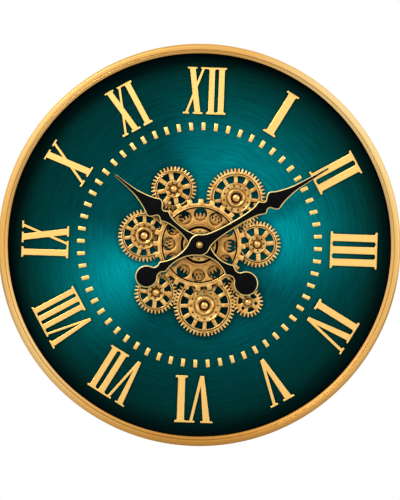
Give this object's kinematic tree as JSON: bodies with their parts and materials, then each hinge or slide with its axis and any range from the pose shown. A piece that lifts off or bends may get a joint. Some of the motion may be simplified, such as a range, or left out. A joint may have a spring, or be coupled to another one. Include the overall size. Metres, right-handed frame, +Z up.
{
  "type": "gear wall clock",
  "caption": "Round wall clock with a deep gold bezel, teal dial, raised Roman numerals, pointed black hands and an open train of meshing brass wheels turned by a motor.",
  "frame": {"origin": "centre of the back cover's rear face, on the axis of the hands, where the clock meets the wall", "axes": "+Y into the wall, so the dial faces -Y; +Z up towards the numeral XII; +X to the right as seen from the front"},
  "size_m": [0.6, 0.066, 0.6],
  "materials": {
    "bezel_gold": "satin gold anodised spun sheet",
    "numeral_gold": "satin pale gold anodised plate",
    "antique_brass": "antique brass, cast and tumbled",
    "polished_brass": "polished turned brass",
    "teal_lacquer": "teal lacquer over circular-brushed sheet",
    "black_enamel": "black enamel with a pale gold edge",
    "black_plastic": "moulded black",
    "grey_steel": "zinc plated",
    "cover_board": "matt black sheet",
    "cell_jacket": "plain shrink sleeve"
  },
  "bodies": {
    "case": {"case_rim": "bezel_gold", "dial_plate": "teal_lacquer", "spacer_hoop": "cover_board", "back_cover": "cover_board", "hanger_plate": "grey_steel", "battery_tray": "black_plastic", "battery_cell_upper": "cell_jacket", "battery_cell_lower": "cell_jacket", "numeral_01": "numeral_gold", "numeral_02": "numeral_gold", "numeral_03": "numeral_gold", "numeral_04": "numeral_gold", "numeral_05": "numeral_gold", "numeral_06": "numeral_gold", "numeral_07": "numeral_gold", "numeral_08": "numeral_gold", "numeral_09": "numeral_gold", "numeral_10": "numeral_gold", "numeral_11": "numeral_gold", "numeral_12": "numeral_gold", "train_plate": "grey_steel", "upper_left_pillar": "antique_brass", "upper_right_pillar": "antique_brass", "lower_left_pillar": "antique_brass", "movement_case": "black_plastic", "motor_case": "grey_steel", "upper_left_post": "polished_brass", "upper_right_post": "polished_brass", "left_post": "polished_brass", "right_post": "polished_brass", "lower_left_post": "polished_brass", "lower_right_post": "polished_brass", "bottom_post": "polished_brass", "rear_idler_post": "polished_brass", "top_idler_post": "polished_brass"},
    "battery_lid": {"battery_door": "black_plastic"},
    "time_setter": {"setting_knob": "black_plastic"},
    "centre_train": {"drive_wheel": "antique_brass", "centre_sleeve": "antique_brass", "centre_wheel": "antique_brass", "ring_gear": "antique_brass", "centre_boss": "antique_brass"},
    "motor_rotor": {"motor_pinion": "grey_steel"},
    "upper_left_gear": {"upper_left_wheel": "antique_brass"},
    "upper_right_gear": {"upper_right_wheel": "antique_brass", "upper_right_collet": "polished_brass"},
    "left_gear": {"left_wheel": "antique_brass", "left_collet": "polished_brass"},
    "right_gear": {"right_wheel": "antique_brass"},
    "lower_left_gear": {"lower_left_wheel": "antique_brass"},
    "lower_right_gear": {"lower_right_wheel": "antique_brass"},
    "bottom_gear": {"bottom_wheel": "antique_brass", "bottom_collet": "polished_brass"},
    "rear_idler_gear": {"rear_idler_wheel": "antique_brass"},
    "top_idler_gear": {"top_idler_wheel": "antique_brass"},
    "hour_set": {"hour_pipe": "polished_brass", "hour_hand": "black_enamel"},
    "minute_set": {"minute_arbor": "grey_steel", "minute_hand": "black_enamel", "hand_nut": "polished_brass"}
  },
  "joints": [
    {"name": "minute_turn", "type": "hinge", "parent": "case", "child": "minute_set", "pos_m": [0, -0.0575, 0], "axis": [0, 1, 0], "continuous": true},
    {"name": "hour_turn", "type": "hinge", "parent": "case", "child": "hour_set", "pos_m": [0, -0.054, 0], "axis": [0, 1, 0], "continuous": true},
    {"name": "setter_turn", "type": "hinge", "parent": "case", "child": "time_setter", "pos_m": [0, -0.002, -0.017], "axis": [0, 1, 0], "continuous": true},
    {"name": "centre_turn", "type": "hinge", "parent": "case", "child": "centre_train", "pos_m": [0, -0.042, 0], "axis": [0, 1, 0], "continuous": true},
    {"name": "motor_turn", "type": "hinge", "parent": "case", "child": "motor_rotor", "pos_m": [0.0524, -0.0265, 0], "axis": [0, 1, 0], "continuous": true},
    {"name": "upper_left_turn", "type": "hinge", "parent": "case", "child": "upper_left_gear", "pos_m": [-0.04143, -0.0416, 0.08265], "axis": [0, 1, 0], "continuous": true},
    {"name": "upper_right_turn", "type": "hinge", "parent": "case", "child": "upper_right_gear", "pos_m": [0.05261, -0.0416, 0.07241], "axis": [0, 1, 0], "continuous": true},
    {"name": "left_turn", "type": "hinge", "parent": "case", "child": "left_gear", "pos_m": [-0.08353, -0.0416, 0.011], "axis": [0, 1, 0], "continuous": true},
    {"name": "right_turn", "type": "hinge", "parent": "case", "child": "right_gear", "pos_m": [0.0868, -0.0416, 0.00412], "axis": [0, 1, 0], "continuous": true},
    {"name": "lower_left_turn", "type": "hinge", "parent": "case", "child": "lower_left_gear", "pos_m": [-0.06302, -0.0416, -0.0734], "axis": [0, 1, 0], "continuous": true},
    {"name": "lower_right_turn", "type": "hinge", "parent": "case", "child": "lower_right_gear", "pos_m": [0.07597, -0.0416, -0.08342], "axis": [0, 1, 0], "continuous": true},
    {"name": "bottom_turn", "type": "hinge", "parent": "case", "child": "bottom_gear", "pos_m": [0.01049, -0.0416, -0.09065], "axis": [0, 1, 0], "continuous": true},
    {"name": "rear_idler_turn", "type": "hinge", "parent": "case", "child": "rear_idler_gear", "pos_m": [0.06116, -0.0382, -0.05898], "axis": [0, 1, 0], "continuous": true},
    {"name": "top_idler_turn", "type": "hinge", "parent": "case", "child": "top_idler_gear", "pos_m": [-0.03907, -0.0416, 0.04046], "axis": [0, 1, 0], "continuous": true},
    {"name": "battery_lid_slide", "type": "slide", "parent": "case", "child": "battery_lid", "axis": [0, 0, 1], "range_m": [0, 0.03]}
  ],
  "couplings": [
    {"joint": "hour_turn", "follows": "minute_turn", "ratio": 0.083333},
    {"joint": "setter_turn", "follows": "minute_turn", "ratio": -0.33333},
    {"joint": "motor_turn", "follows": "centre_turn", "ratio": -2.4},
    {"joint": "upper_right_turn", "follows": "centre_turn", "ratio": -1.0833},
    {"joint": "right_turn", "follows": "centre_turn", "ratio": 1.4054},
    {"joint": "left_turn", "follows": "centre_turn", "ratio": -1.2381},
    {"joint": "bottom_turn", "follows": "centre_turn", "ratio": -1.04},
    {"joint": "lower_left_turn", "follows": "centre_turn", "ratio": 1.5294},
    {"joint": "lower_right_turn", "follows": "centre_turn", "ratio": 2.2609},
    {"joint": "rear_idler_turn", "follows": "centre_turn", "ratio": 3.25},
    {"joint": "top_idler_turn", "follows": "centre_turn", "ratio": -5.2},
    {"joint": "upper_left_turn", "follows": "centre_turn", "ratio": 1.4444}
  ]
}
